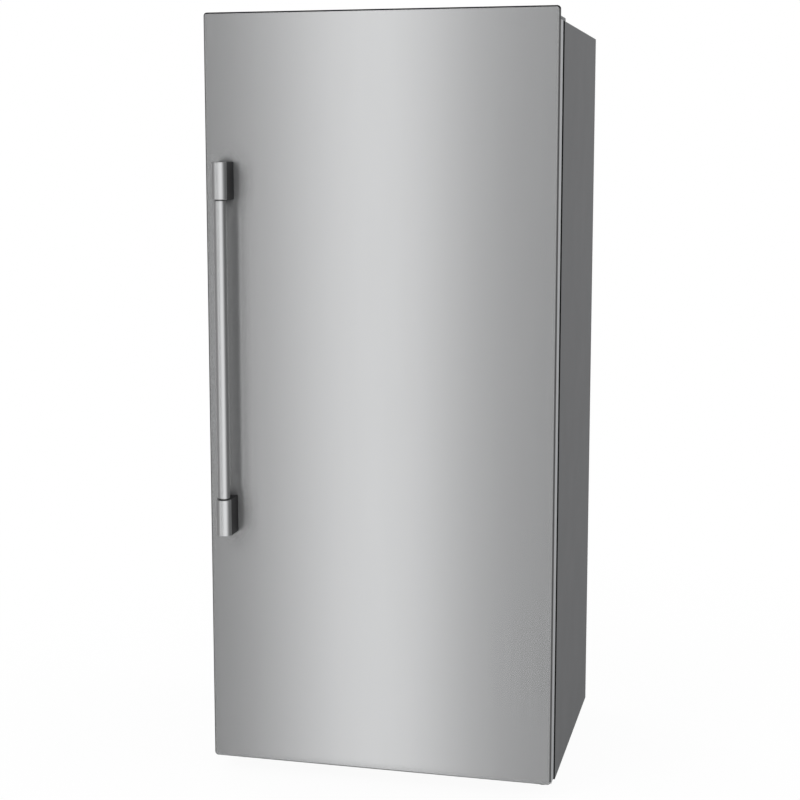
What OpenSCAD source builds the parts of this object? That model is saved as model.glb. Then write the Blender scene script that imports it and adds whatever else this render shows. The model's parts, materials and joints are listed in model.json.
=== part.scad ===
// Single door refrigerator: cabinet, one hinged door, interior fittings and machine compartment.
// Millimetres. X points right, Y points to the back, Z points up. The floor is z = 0.
// Draws every sub-part, or the one that node names.

/* [Cabinet] */
// Width of the cabinet and of the door
cab_w = 835; // [780:1:900]
// Depth of the cabinet behind its front face
cab_d = 600; // [570:1:680]
// Height of the cabinet from its base to its top
cab_h = 1784; // [1740:1:1860]
// Height of the cabinet's base above the floor
floor_gap = 25; // [24:1:40]
// Thickness of the sheet steel skins
skin_t = 1; // [0.8:0.1:1.4]
// Rounding of the wrapper's top side edges
edge_r = 4; // [2:0.5:8]
// Thickness of the insulated side walls
side_wall = 55; // [50:1:70]
// Thickness of the insulated top wall
top_wall = 57; // [50:1:75]
// Thickness of the insulated rear wall
rear_wall = 65; // [55:1:80]
// Height of the food compartment's floor above the cabinet's base
floor_wall = 85; // [75:1:100]
// Width of the liner's front lip around the food compartment
lip = 15; // [12:1:20]
// Thickness of the plastic liners
liner_t = 2; // [1.5:0.1:3]
// Radius of the liner's rear vertical corners
cavity_r = 20; // [10:1:35]
// Depth of the machine compartment
mc_d = 190; // [182:1:205]
// Height of the machine compartment above the cabinet's base
mc_h = 215; // [205:1:235]
// Insulation between the machine compartment and the food compartment
hump_wall = 45; // [35:1:55]
// Insulation pads on the two sides of the machine compartment
mc_side = 20; // [12:1:30]
// Depth of the recess that holds the rear panel, the machine cover and their screws
rear_set = 4; // [3.5:0.1:6]

/* [Base] */
// Thickness of the base pan
pan_t = 1.5; // [1.2:0.1:2.5]
// Height of the pan's upturned rear flange
pan_lip = 14; // [8:1:20]
// Distance of each levelling foot from the cabinet's side
foot_in = 45; // [36:1:60]
// Distance of each levelling foot behind the cabinet's front face
foot_back = 40; // [32:1:60]
// Radius of a levelling foot's disc
foot_r = 18; // [14:1:22]
// Height of a levelling foot's disc
foot_h = 8; // [6:1:12]
// Radius of a levelling foot's stem
stem_r = 5; // [4:0.5:6]
// Length of a levelling foot's stem above its disc
stem_len = 46; // [40:1:52]
// Radius of the nut plate boss that holds a stem
boss_r = 10; // [8.5:0.5:13]
// Height of that boss above the base pan
boss_h = 16; // [10:1:20]
// Running clearance of stems, axles, shafts and pins, all round
run_clear = 0.08; // [0.05:0.01:0.1]
// Distance of each rear roller from the cabinet's side
roller_in = 60; // [45:1:90]
// Distance of the roller axles from the cabinet's back
roller_back = 40; // [30:1:60]
// Radius of a rear roller
roller_r = 11.5; // [9:0.5:11.8]
// Width of a rear roller
roller_w = 20; // [16:1:26]
// Radius of a roller's axle
axle_r = 3; // [2.5:0.5:4]
// Thickness of a roller yoke's ears
ear_t = 2.5; // [2:0.5:4]
// Side gap between a roller and its ears
roller_gap = 0.5; // [0.3:0.1:1]

/* [Door] */
// Depth of the stainless front panel
panel_t = 10; // [8:1:11]
// Depth of the door body behind the front panel
body_t = 37; // [34:1:44]
// Gap between the door body and the cabinet face
door_gap = 26; // [23:1:32]
// Height of the door's bottom above the cabinet's base
door_lift = 13; // [12:1:20]
// Height of the front panel's top above the cabinet's top
panel_rise = 28; // [27:1:36]
// Drop of the door body's top below the cabinet's top
body_drop = 2; // [1.5:0.1:4]
// Corner radius of the front panel, seen from the front
panel_r = 8; // [6:0.5:10]
// Radius of the front panel's front edges, all round
panel_edge_r = 4; // [2:0.5:5]
// Height of the door's end caps
cap_t = 20; // [19.5:0.5:26]
// Width of the back flange of the door's side frames
flange_w = 18; // [15:1:24]
// Inset of the door liner's flange from the door's edges
liner_inset = 12; // [8:1:14]
// Depth of the door liner's raised pan
plinth_h = 16; // [12:1:20]
// Gap between the door liner's pan and the food compartment's walls
plinth_gap = 12; // [10:1:16]
// Thickness of the door liner's side walls that carry the bins
dyke_t = 15; // [12:1:20]
// Depth of those side walls
dyke_h = 50; // [40:1:56]
// Radius of the ends of those side walls
dyke_end_r = 30; // [10:1:38]
// Distance of the gasket's inner edge from the food compartment's walls
gasket_off = 7; // [5:1:10]
// Width of the gasket
gasket_w = 20; // [18:1:21]
// Gap between the gasket and the cabinet face
seal_gap = 0.3; // [0.3:0.1:0.6]

/* [Hinges] */
// Distance of the hinge line from the door's right edge
hinge_in = 22; // [20:1:24]
// Distance of the hinge line behind the door's front
hinge_back = 24; // [24:0.5:27]
// Radius of the hinge pins
pin_r = 6; // [5:0.5:6.5]
// Wall of the hinge bushings
bush_wall = 3.5; // [3:0.5:4.5]
// Length of the hinge bushings
bush_len = 18; // [14:1:19]
// Radius of the eye around each hinge pin
eye_r = 11; // [10:0.5:11]
// Thickness of the hinge brackets
bracket_t = 4; // [3:0.5:5]
// Length of the top hinge bracket's seat on the cabinet
seat_len = 58; // [50:1:70]
// Width of the top hinge bracket's seat on the cabinet
seat_w = 64; // [56:1:76]
// Height of the bottom hinge bracket's upright plate
upright_h = 40; // [32:1:42]
// Thickness of the bottom hinge bracket's upright plate
upright_t = 3; // [2.5:0.5:4]
// Height of the top hinge cover at its inner side
cover_h = 20; // [18:1:25]
// Height of the top hinge cover at its outer side
cover_low = 12; // [11.5:0.5:14]
// Wall of the top hinge cover
cover_wall = 1.8; // [1.5:0.1:2]
// Rounding of the top hinge cover's upper edges
cover_r = 7; // [4:0.5:10]

/* [Handle] */
// Distance of the handle's centre line from the door's left edge
handle_in = 51.5; // [44:0.5:70]
// Distance of the handle's centre line from the door's front
handle_reach = 48; // [42:1:56]
// Radius of the handle bar
bar_r = 14; // [11:0.5:16]
// Half width of the handle's end posts, and radius of their round fronts
post_r = 18; // [17:0.5:21]
// Height of each end post
post_len = 87; // [70:1:100]
// Height of the handle's bottom above the door's bottom
handle_low = 571; // [500:1:620]
// Length of the whole handle
handle_len = 884; // [800:1:950]
// Length of the groove between bar and post
neck_len = 2; // [1.5:0.5:5]
// Depth of the groove between bar and post
neck_cut = 4; // [1.5:0.5:5]
// Chamfer of the ends of the bar and of the posts
end_bevel = 1; // [0.5:0.1:2]

/* [Shelves] */
// Pitch of the slots in the shelf tracks
slot_pitch = 25; // [22:1:28]
// Clear height from the crisper cover to the first shelf
bay_1 = 320; // [280:1:340]
// Height from the first shelf to the second
bay_2 = 310; // [280:1:330]
// Height from the second shelf to the third
bay_3 = 325; // [290:1:340]
// Distance of the shelf fronts behind the cabinet face
shelf_back = 90; // [84:1:110]
// Gap between a shelf and each side wall of the food compartment
shelf_side = 10; // [6:1:20]
// Thickness of the shelf glass
glass_t = 4; // [3:0.5:5]
// Distance of each shelf track from the middle
track_x = 240; // [215:1:270]
// Width of a shelf track
track_w = 14; // [12:1:20]
// Depth of a shelf track
track_d = 10; // [8:0.5:14]
// Thickness of a shelf track's metal
track_t = 1.5; // [1:0.1:2]
// Thickness of a shelf arm
arm_t = 2.5; // [2:0.5:3]
// Height of a shelf arm at its rear
arm_rear = 38; // [30:1:45]
// Height of a shelf arm at its front
arm_front = 16; // [12:1:20]
// Depth of the shelves' front and rear trims
trim_d = 14; // [12:1:20]
// Height of the shelves' front and rear trims
trim_h = 13; // [10:1:16]

/* [Crispers] */
// Distance of the crisper fronts behind the cabinet face
crisper_set = 100; // [90:1:115]
// Height of the crisper cover's underside above the floor of the food compartment
crisper_h = 235; // [215:1:250]
// Height of the crisper cover's frame
frame_h = 12; // [10:1:16]
// Height of the crisper cover's front bar
front_bar_h = 24; // [20:1:30]
// Depth of the crisper cover's front bar
front_bar_d = 16; // [14:1:20]
// Thickness of the crispers' walls
crisper_wall = 3; // [2:0.5:4]
// Width of the crispers' rims
rim_w = 13; // [11:1:16]
// Thickness of the crispers' rims and of the rails' ledges
rim_t = 3; // [2.5:0.5:5]
// Gap between moving pieces that slide on each other
slide_gap = 0.3; // [0.3:0.05:0.5]
// Distance from the rails' ledges up to the crisper cover
rail_drop = 18; // [16:1:24]
// Thickness of the rails' webs
rail_web = 6; // [4:0.5:9]
// Thickness of the crispers' front walls
crisper_front = 8; // [6:1:12]
// Length of a humidity slider
slider_w = 28; // [20:1:36]
// Travel of a humidity slider
slider_travel = 40; // [30:1:50]
// Height of a humidity slider
slider_h = 10; // [8:1:12]

/* [Door bins] */
// Thickness of the door bins' walls
bin_wall = 2.5; // [2:0.5:4]
// Depth of the door bins
bin_d = 88; // [75:1:90]
// Height of the upper door bins
bin_h = 95; // [80:1:120]
// Height of the tall bottle bin
bottle_h = 150; // [130:1:180]
// Height of the bottle bin's floor above the crisper cover
bin_0 = 45; // [35:1:60]
// Clear height between the dairy compartment and the control console
lid_room = 111; // [100:1:125]
// Corner radius of the door bins
bin_r = 24; // [12:1:32]
// Length of the lugs that carry the door bins
lug_l = 40; // [30:1:60]
// Height of the lugs that carry the door bins
lug_h = 9; // [6:1:14]
// Width of the lugs that carry the door bins
lug_w = 8; // [6:1:12]
// Height of the dairy compartment
dairy_h = 105; // [95:1:115]
// Thickness of the dairy compartment's side walls
dairy_side = 4; // [3.5:0.5:6]
// Height of the dairy compartment's front wall
dairy_front = 35; // [25:1:50]
// Radius of the dairy lid's hinge rod
lid_rod_r = 5; // [4.5:0.5:6]
// Radius of the dairy lid's hinge pins
lid_pin_r = 3; // [2.5:0.5:3.5]
// Thickness of the dairy lid
lid_t = 2.5; // [2:0.5:3.5]

/* [Console and air duct] */
// Height of the control console
console_h = 54; // [48:1:62]
// Depth of the control console
console_d = 160; // [130:1:190]
// Distance of the control console behind the cabinet face
console_set = 50; // [48:1:60]
// Radius of a control key
key_r = 8; // [6:0.5:9]
// Travel of a control key
key_travel = 1.2; // [0.8:0.1:2]
// Distance of each control key from the middle
key_x = 24; // [18:1:40]
// Half width of the light lens
lens_x = 170; // [120:1:220]
// Depth of the light lens
lens_d = 80; // [60:1:100]
// Half width of the air duct cover
duct_x = 170; // [160:1:190]
// Depth of the air duct cover
duct_d = 58; // [56:1:66]
// Wall of the air duct cover
duct_wall = 2.5; // [2:0.5:3.5]
// Rows of air outlets
vent_rows = 5; // [3:1:6]
// Width of an air slot
vent_w = 70; // [50:1:80]
// Height of an air slot
vent_h = 6; // [4:1:8]
// Radius of the evaporator fan
evap_fan_r = 45; // [38:1:50]
// Width of both fans
fan_w = 14; // [12:1:16]
// Radius of both fans' shafts
shaft_r = 2.5; // [2:0.5:3]

/* [Machine compartment] */
// Radius of the compressor's shell
comp_r = 74; // [68:1:78]
// Height of the compressor's shell
comp_h = 150; // [135:1:156]
// Distance of the compressor's middle from the cabinet's side
comp_in = 142.5; // [128:0.5:155]
// Height of the compressor's rubber mounts
mount_h = 12; // [10:1:15]
// Radius of the compressor's rubber mounts
mount_r = 12; // [10:1:14]
// Radius of the condenser fan
cond_fan_r = 62; // [55:1:68]
// Width of the condenser coil
cond_w = 290; // [250:1:310]
// Height of the condenser coil
cond_h = 126; // [110:1:132]
// Radius of the condenser's tubes
tube_r = 3; // [2.5:0.5:4]
// Depth of the drain pan
drain_pan_h = 26; // [20:1:30]
// Outer radius of the drain tube
drain_r = 8; // [6:0.5:10]
// Thickness of the machine cover
mcover_t = 1.2; // [1:0.1:2]
// Slots in each column of the machine cover
louvre_rows = 9; // [6:1:11]

/* [Hidden] */
$fn = 48;
seg = 8;
eps = 0.01;

c_steel = [0.66, 0.67, 0.68];
c_cabinet = [0.36, 0.37, 0.38];
c_frame = [0.62, 0.63, 0.64];
c_black = [0.06, 0.06, 0.06];
c_white = [0.90, 0.91, 0.92];
c_foam = [0.88, 0.80, 0.56];
c_zinc = [0.55, 0.57, 0.58];
c_clear = [0.80, 0.88, 0.92, 0.35];
c_grey = [0.45, 0.46, 0.47];
c_copper = [0.72, 0.42, 0.26];
c_alu = [0.75, 0.76, 0.78];

// Planes of the cabinet
xh = cab_w/2;
handle_out = handle_reach + post_r;
front_zone = panel_t + body_t + door_gap;
y_df = handle_out - (cab_d + front_zone + handle_out)/2;
y_pt = y_df + panel_t;
y_db = y_pt + body_t;
y_cf = y_df + front_zone;
y_cr = y_cf + cab_d;
z_cb = floor_gap;
z_ct = z_cb + cab_h;
z_db = z_cb + door_lift;
z_dt = z_ct + panel_rise;
z_bt = z_ct - body_drop;

// Planes of the food compartment
xc = xh - side_wall;
zf = z_cb + floor_wall;
zt = z_ct - top_wall;
yb = y_cr - rear_wall;
y_mc = y_cr - mc_d;
z_mc = z_cb + mc_h;
y_hump = y_mc - hump_wall;
z_hump = z_mc + hump_wall;
y_rp = y_cr - rear_set - skin_t;
z_pan = z_cb + pan_t;
xm = xh - skin_t - mc_side;
comp_x = xh - comp_in;

// Hinge line
hx = xh - hinge_in;
hy = y_df + hinge_back;
bush_r = pin_r + run_clear + bush_wall;

// Heights of the inner fittings
z_cov = zf + crisper_h;
z_cov_top = z_cov + frame_h;
z_rail = z_cov - rail_drop;
z_con = zt - console_h;
z_track = z_cov_top + 45;
function snap(z) = z_track + slot_pitch*round((z - z_track)/slot_pitch);
z_sh = [snap(z_cov_top + bay_1), snap(z_cov_top + bay_1 + bay_2),
  snap(z_cov_top + bay_1 + bay_2 + bay_3)];
y_sh = y_cf + shelf_back;
y_duct = yb - duct_d;
y_cr0 = y_cf + crisper_set;

// Door fittings
yp = y_db + plinth_h;
xp = xc - plinth_gap;
xi = xp - dyke_t;
z_dyke0 = z_cov + front_bar_h + 10;
z_dyke1 = z_con - 12;
bin_pitch = (z_con - lid_room - dairy_h - z_cov_top - bin_0)/4;
bin_z = [for (i = [0:3]) z_cov_top + bin_0 + i*bin_pitch];
z_dairy = bin_z[3] + bin_pitch;

// Corner points of a plan or profile, each with its own radius
function arc_pts(cx, cy, r, a0, a1) =
  [for (i = [0:seg]) [cx + r*cos(a0 + (a1 - a0)*i/seg), cy + r*sin(a0 + (a1 - a0)*i/seg)]];
function corner(x, y, sx, sy, r, a) =
  r <= 0 ? [[x, y]] : arc_pts(x - sx*r, y - sy*r, r, a, a + 90);
function round_rect(x0, y0, x1, y1, r) = concat(
  corner(x0, y0, -1, -1, r[0], 180), corner(x1, y0, 1, -1, r[1], 270),
  corner(x1, y1, 1, 1, r[2], 0), corner(x0, y1, -1, 1, r[3], 90));

module box(a, b) translate(a) cube([b[0] - a[0], b[1] - a[1], b[2] - a[2]]);
module along_z(pts, z0, z1) translate([0, 0, z0]) linear_extrude(z1 - z0) polygon(pts);
module along_x(pts, x0, x1) translate([x0, 0, 0]) rotate([90, 0, 90]) linear_extrude(x1 - x0) polygon(pts);
module along_y(pts, y0, y1) translate([0, y1, 0]) rotate([90, 0, 0]) linear_extrude(y1 - y0) polygon(pts);
module rod_x(x0, x1, y, z, r) translate([x0, y, z]) rotate([0, 90, 0]) cylinder(h = x1 - x0, r = r);
module rod_y(x, y0, y1, z, r) translate([x, y1, z]) rotate([90, 0, 0]) cylinder(h = y1 - y0, r = r);
module rod_z(x, y, z0, z1, r) translate([x, y, z0]) cylinder(h = z1 - z0, r = r);
module both_sides() { children(); mirror([1, 0, 0]) children(); }

// Inside of the wrapper, from y0 to y1
module wrapper_inside(y0, y1)
  along_y(round_rect(-xh + skin_t, z_cb - 1, xh - skin_t, z_ct - skin_t,
    [0, 0, edge_r - skin_t, edge_r - skin_t]), y0, y1);

// Food compartment grown by g, from y0 back
module food_space(g, y0) intersection() {
  along_x([[y0, zf - g], [y_hump + g, zf - g], [y_hump + g, z_hump - g], [yb + g, z_hump - g],
    [yb + g, zt + g], [y0, zt + g]], -xc - g, xc + g);
  along_z(round_rect(-xc - g, y0, xc + g, yb + g, [0, 0, cavity_r + g, cavity_r + g]), zf - g - 1,
    zt + g + 1);
}

// Cabinet

module cabinet_wrapper() color(c_cabinet) difference() {
  along_y(round_rect(-xh, z_cb, xh, z_ct, [0, 0, edge_r, edge_r]), y_cf, y_cr);
  wrapper_inside(y_cf + skin_t, y_cr + 1);
  box([-xc - lip, y_cf - 1, z_cb - 1], [xc + lip, y_cf + skin_t + 1, zt + lip]);
}

// Pressed beads that stiffen the rear panel: how many, their radius, rise and distance from its ends
bead_n = 4;
bead_r = 7;
bead_out = 2.5;
bead_end = 70;
module bead(x) {
  y = y_rp + skin_t + bead_out - bead_r;
  rod_z(x, y, z_mc + bead_end, z_ct - bead_end, bead_r);
  for (z = [z_mc + bead_end, z_ct - bead_end]) elbow([x, y, z], bead_r);
}
module rear_panel() color(c_zinc) {
  intersection() {
    wrapper_inside(y_rp, y_rp + skin_t);
    box([-xh, y_rp - 1, z_mc], [xh, y_cr, z_ct]);
  }
  intersection() {
    for (i = [0:bead_n - 1]) bead((i - (bead_n - 1)/2)*2*xh/(bead_n + 0.5));
    box([-xh, y_rp + skin_t/2, z_mc], [xh, y_cr, z_ct]);
  }
}

module cabinet_insulation() color(c_foam) difference() {
  intersection() {
    wrapper_inside(y_cf + skin_t, y_rp);
    box([-xh, y_cf, z_pan], [xh, y_cr, z_ct]);
  }
  food_space(liner_t, y_cf - 1);
  box([-xc - lip, y_cf - 1, zf - lip], [xc + lip, y_cf + liner_t, zt + lip]);
  box([-xc - lip, y_cf - 1, z_cb], [xc + lip, y_cf + pan_t, zf - lip + eps]);
  both_sides() box([xc + lip - eps, y_cf - 1, z_cb], [xh, y_cf + skin_t, z_ct]);
  box([-xm, y_mc, z_cb], [xm, y_cr, z_mc]);
  box([-xh, y_pan1, z_cb], [xh, y_cr, z_mc]);
  both_sides() rod_z(foot_x, foot_y, z_cb, z_pan + boss_h, boss_r);
  both_sides() rod_z(foot_x, foot_y, z_cb, foot_h + stem_len + 4, stem_r + 2);
  rod_z(drain_x, drain_y, z_mc - 1, z_hump, drain_r);
  for (x = pipe_x) riser(x, z_mc - 1, z_jog1 + 1);
}

module inner_liner() color(c_white) difference() {
  union() {
    food_space(liner_t, y_cf);
    box([-xc - lip, y_cf, zf - lip], [xc + lip, y_cf + liner_t, zt + lip]);
  }
  food_space(0, y_cf - 1);
  rod_z(drain_x, drain_y, z_mc, z_hump + 1, drain_r);
  for (x = pipe_x) rod_y(x, pipe_y, pipe_foam_y, z_jog1, tube_r);
}

// Base with the front rail, the foot bosses and the roller yokes

foot_x = xh - foot_in;
foot_y = y_cf + foot_back;
roller_x = xh - roller_in;
roller_y = y_cr - roller_back;
ear_h = roller_r - axle_r - 3;
y_pan1 = y_cr - rear_set - mcover_t;

module roller_yoke() {
  for (s = [-1, 1]) translate([roller_x + s*(roller_w/2 + roller_gap + ear_t/2), 0, 0])
    along_x(round_rect(roller_y - roller_r, ear_h, roller_y + roller_r, z_cb + eps, [5, 5, 0, 0]), -ear_t/2,
      ear_t/2);
  rod_x(roller_x - roller_w/2 - roller_gap - ear_t, roller_x + roller_w/2 + roller_gap + ear_t,
    roller_y, roller_r, axle_r);
}

module base_frame() color(c_black) difference() {
  union() {
    box([-xh + skin_t, y_cf + pan_t, z_cb], [xh - skin_t, y_pan1, z_pan]);
    box([-xc - lip, y_cf, z_cb], [xc + lip, y_cf + pan_t, zf - lip]);
    box([-xm, y_pan1 - pan_t, z_cb], [xm, y_pan1, z_pan + pan_lip]);
    both_sides() rod_z(foot_x, foot_y, z_cb, z_pan + boss_h, boss_r);
    both_sides() roller_yoke();
  }
  both_sides() rod_z(foot_x, foot_y, z_cb - 1, z_pan + boss_h + 1, stem_r + run_clear);
}

module roller() difference() {
  rod_x(roller_x - roller_w/2, roller_x + roller_w/2, roller_y, roller_r, roller_r);
  rod_x(roller_x - roller_w, roller_x + roller_w, roller_y, roller_r, axle_r + run_clear);
}
module roller_right() color(c_black) roller();
module roller_left() color(c_black) mirror([1, 0, 0]) roller();

module foot() {
  rod_z(foot_x, foot_y, 0, foot_h, foot_r);
  rod_z(foot_x, foot_y, foot_h - eps, foot_h + stem_len, stem_r);
  translate([foot_x, foot_y, foot_h - eps]) cylinder(h = nut_h, r = stem_r*1.8, $fn = 6);
}
nut_h = 5;
module foot_right() color(c_grey) foot();
module foot_left() color(c_grey) mirror([1, 0, 0]) foot();

// Rear

inlet_x = xm - 40;
inlet_z = z_cb + 70;
inlet_w = 30;
inlet_h = 24;
louvre_l = 78;
louvre_h = 6;
hood_r = 2.6;
louvre_x = [for (k = [-1:1]) k*(louvre_l + 26) - louvre_l/2 - 60];
louvre_z = [for (i = [0:louvre_rows - 1]) z_pan + pan_lip + 22 + i*(z_mc - z_pan - pan_lip - 50)/louvre_rows];
module louvre_slots() for (x = louvre_x) for (z = louvre_z)
  along_y(round_rect(x, z, x + louvre_l, z + louvre_h,
    [louvre_h/2.01, louvre_h/2.01, louvre_h/2.01, louvre_h/2.01]), y_pan1 - 1, y_cr);
module louvre_hoods() intersection() {
  for (x = louvre_x) for (z = louvre_z)
    rod_x(x + 2, x + louvre_l - 2, y_pan1 + mcover_t, z + louvre_h, hood_r);
  box([-xh, y_pan1 + mcover_t/2, z_cb], [xh, y_cr, z_mc]);
}
module machine_cover() color(c_grey) difference() {
  union() {
    box([-xh + skin_t + 0.5, y_pan1, z_cb + 2], [xh - skin_t - 0.5, y_pan1 + mcover_t, z_mc - 0.5]);
    louvre_hoods();
  }
  louvre_slots();
  box([inlet_x - inlet_w/2, y_pan1 - 1, inlet_z - inlet_h/2],
    [inlet_x + inlet_w/2, y_cr, inlet_z + inlet_h/2]);
}
module power_inlet() color(c_black) difference() {
  union() {
    box([inlet_x - inlet_w/2, y_pan1 - 18, inlet_z - inlet_h/2],
      [inlet_x + inlet_w/2, y_pan1 + mcover_t, inlet_z + inlet_h/2]);
    along_y(round_rect(inlet_x - inlet_w/2 - 9, inlet_z - inlet_h/2 - 3, inlet_x + inlet_w/2 + 9,
      inlet_z + inlet_h/2 + 3, [4, 4, 4, 4]), y_pan1 + mcover_t, y_cr - 0.5);
  }
  difference() {
    box([inlet_x - inlet_w/2 + 3, y_pan1 - 14, inlet_z - inlet_h/2 + 3],
      [inlet_x + inlet_w/2 - 3, y_cr, inlet_z + inlet_h/2 - 3]);
    for (p = [[-7, -2], [0, 3], [7, -2]])
      box([inlet_x + p[0] - 1, y_pan1 - 15, inlet_z + p[1] - 2.5],
        [inlet_x + p[0] + 1, y_pan1, inlet_z + p[1] + 2.5]);
  }
}

// Console at the top of the food compartment

y_con = y_cf + console_set;
key_z = zt - console_h/3;
lens_t = 3.5;
lens_sink = 2;
module console_profile() along_x([[y_con, zt], [y_con, z_con + 16], [y_con + 10, z_con],
  [y_con + console_d - 24, z_con], [y_con + console_d, z_con + 22], [y_con + console_d, zt]], -xc, xc);
module control_console() color(c_grey) difference() {
  console_profile();
  for (s = [-1, 1]) rod_y(s*key_x, y_con - 1, y_con + 6, key_z, key_r + slide_gap);
  box([-lens_x, y_con + 28, z_con - 1], [lens_x, y_con + 28 + lens_d, z_con + lens_sink]);
  for (i = [-3:3]) if (i != 0) box([i*45 - 14, y_con + console_d - 40, z_con - 1],
    [i*45 + 14, y_con + console_d - 34, z_con + 8]);
}
module light_lens() color(c_white) difference() {
  along_z(round_rect(-lens_x, y_con + 28, lens_x, y_con + 28 + lens_d, [6, 6, 6, 6]),
    z_con + lens_sink - lens_t, z_con + lens_sink);
  for (i = [-7:7]) rod_y(i*lens_x/8, y_con + 32, y_con + 24 + lens_d, z_con + lens_sink - lens_t - 1.2, 2);
}
key_out = 2.5;
sign_l = 4;
sign_w = 0.6;
sign_d = 0.4;
module key(s) difference() {
  rod_y(s*key_x, y_con - key_out, y_con + 6 - key_travel - 0.4, key_z, key_r);
  box([s*key_x - sign_l, y_con - key_out - 1, key_z - sign_w],
    [s*key_x + sign_l, y_con - key_out + sign_d, key_z + sign_w]);
  if (s > 0)
    box([s*key_x - sign_w, y_con - key_out - 1, key_z - sign_l],
      [s*key_x + sign_w, y_con - key_out + sign_d, key_z + sign_l]);
}
module key_colder() color(c_white) key(-1);
module key_warmer() color(c_white) key(1);

// Air duct with the evaporator and its fan

z_duct0 = z_cov_top + 30;
z_duct1 = z_con - 12;
z_fan = z_duct0 + 380;
y_fan = y_duct + duct_wall + 18;
module duct_cover() color(c_white) difference() {
  union() {
    difference() {
      along_z(round_rect(-duct_x, y_duct, duct_x, yb, [12, 12, 0, 0]), z_duct0, z_duct1);
      along_z(round_rect(-duct_x + duct_wall, y_duct + duct_wall, duct_x - duct_wall, yb + 1,
        [12 - duct_wall, 12 - duct_wall, 0, 0]), z_duct0 + duct_wall, z_duct1 - duct_wall);
    }
    rod_y(0, y_duct + duct_wall - eps, y_fan - 3, z_fan, 17);
    rod_y(0, y_duct + duct_wall - eps, y_fan + fan_w + 2, z_fan, shaft_r);
    for (a = [45:90:315]) translate([0, y_fan - 6, z_fan]) rotate([90, a, 0])
      translate([0, -4, 0]) cube([evap_fan_r + 12, 8, y_fan - 6 - y_duct - duct_wall + eps]);
  }
  for (r = [0:vent_rows - 1]) for (s = [-1, 1]) for (k = [0:2]) {
    z = z_fan + 110 + r*(z_duct1 - z_fan - 160)/vent_rows + k*(vent_h + 8);
    x = s*(duct_x - 22 - vent_w/2);
    along_y(round_rect(x - vent_w/2, z, x + vent_w/2, z + vent_h, [2.5, 2.5, 2.5, 2.5]), y_duct - 1,
      y_duct + duct_wall + 1);
  }
  for (i = [-5:5]) box([i*26 - 8, y_duct - 1, z_duct0 + 12],
    [i*26 + 8, y_duct + duct_wall + 1, z_duct0 + 18]);
}
module fan(r_tip, r_hub, n) difference() {
  union() {
    cylinder(h = fan_w, r = r_hub);
    intersection() {
      cylinder(h = fan_w, r = r_tip);
      for (i = [0:n - 1]) rotate([0, 0, i*360/n]) translate([0, 0, fan_w/2]) rotate([32, 0, 0])
        translate([r_hub - 3, -r_tip*0.32, -0.8]) cube([r_tip, r_tip*0.64, 1.6]);
    }
  }
  translate([0, 0, -1]) cylinder(h = fan_w + 2, r = shaft_r + run_clear);
}
module evaporator_fan() color(c_black) translate([0, y_fan + fan_w, z_fan]) rotate([90, 0, 0])
  fan(evap_fan_r, 14, 5);

// Fin and tube coil: tubes along X with return bends, fins across them
module coil(x0, x1, ys, z0, dz, nz, r, fin, nfin, end_t) {
  for (y = ys) for (i = [0:nz - 1]) rod_x(x0, x1, y, z0 + i*dz, r);
  for (y = ys) for (i = [0:nz - 2]) translate([i % 2 == 0 ? x1 : x0, y, z0 + (i + 0.5)*dz])
    rotate([90, 0, i % 2 == 0 ? 0 : 180]) rotate([0, 0, -90]) rotate_extrude(angle = 180)
      translate([dz/2, 0]) circle(r);
  y0 = min(ys) - fin;
  y1 = max(ys) + fin;
  for (i = [0:nfin - 1]) translate([x0 + end_t + (i + 0.5)*(x1 - x0 - 2*end_t)/nfin, 0, 0])
    box([-0.5, y0, z0 - fin], [0.5, y1, z0 + (nz - 1)*dz + fin]);
}
// The tubes run this far past the coil's end plates before they turn back
coil_over = 3;
coil_plate = 2;
cond_fins = 14;
// Evaporator: gap to the duct's sides, tube radius, fin depth past the tubes, rows and tubes in a row
evap_side = 24;
evap_r = 4;
evap_fin = 9;
evap_gap = 5;
evap_dy = 20;
evap_dz = 26;
evap_n = 8;
evap_fins = 12;
evap_rise = 45;
evap_w = duct_x - duct_wall - evap_side;
evap_y = y_duct + evap_gap + evap_r + evap_fin;
evap_z = z_duct0 + evap_rise;
module evaporator_coil() color(c_alu) {
  coil(-evap_w - coil_over, evap_w + coil_over, [evap_y, evap_y + evap_dy], evap_z, evap_dz, evap_n, evap_r,
    evap_fin,
    evap_fins, coil_over + coil_plate);
  both_sides() box([evap_w - coil_plate, evap_y - evap_fin - 1, evap_z - evap_fin - evap_r],
    [evap_w, yb, evap_z + (evap_n - 1)*evap_dz + evap_fin + evap_r]);
}

// Shelf tracks and cantilever shelves

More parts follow.
